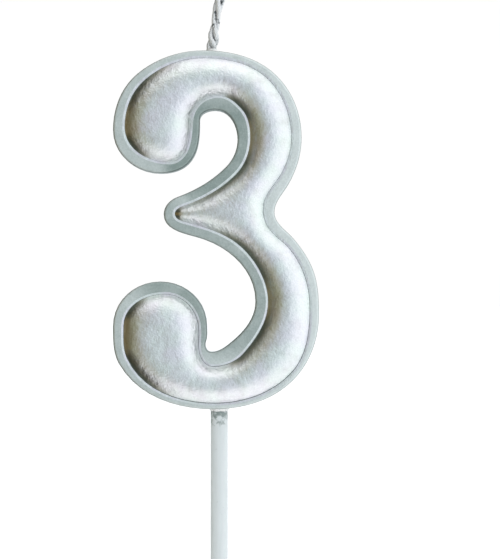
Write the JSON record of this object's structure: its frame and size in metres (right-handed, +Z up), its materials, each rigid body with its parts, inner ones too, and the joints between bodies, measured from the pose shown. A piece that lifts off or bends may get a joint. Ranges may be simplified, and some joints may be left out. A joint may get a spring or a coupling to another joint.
{
  "type": "number birthday candle",
  "caption": "Figure-three wax cake candle: a puffed silver front on a rimmed back plate, with a twisted wick and a pick that pushes into the cake.",
  "frame": {"origin": "on the pick's axis, at the top of its bare shaft, under the wax collar of the numeral", "axes": "+Z up along the pick towards the wick, -Y out of the numeral's puffed face, +X to the right seen from the front"},
  "size_m": [0.0402, 0.0079, 0.1385],
  "materials": {
    "plate_wax": "wax under satin silver lacquer",
    "front_wax": "wax under satin silver lacquer",
    "collar_wax": "wax under satin silver lacquer",
    "stick_plastic": "smooth moulded",
    "wick_cotton": "waxed cotton",
    "wick_lacquered": "waxed cotton with silver lacquer"
  },
  "bodies": {
    "pick": {"stick": "stick_plastic"},
    "numeral": {"back_plate": "plate_wax", "front_relief": "front_wax", "stick_collar": "collar_wax", "wick_collar": "collar_wax", "wick_root": "wick_cotton"},
    "wick": {"wick_ply_1": "wick_lacquered", "wick_ply_2": "wick_lacquered", "wick_ply_3": "wick_lacquered"}
  },
  "joints": [
    {"name": "numeral_lift", "type": "slide", "parent": "pick", "child": "numeral", "axis": [0, 0, 1], "range_m": [0, 0.012]},
    {"name": "wick_bend", "type": "hinge", "parent": "numeral", "child": "wick", "pos_m": [-0.00145, 0, 0.0712], "axis": [0, 1, 0], "range_deg": [-25, 25]}
  ]
}
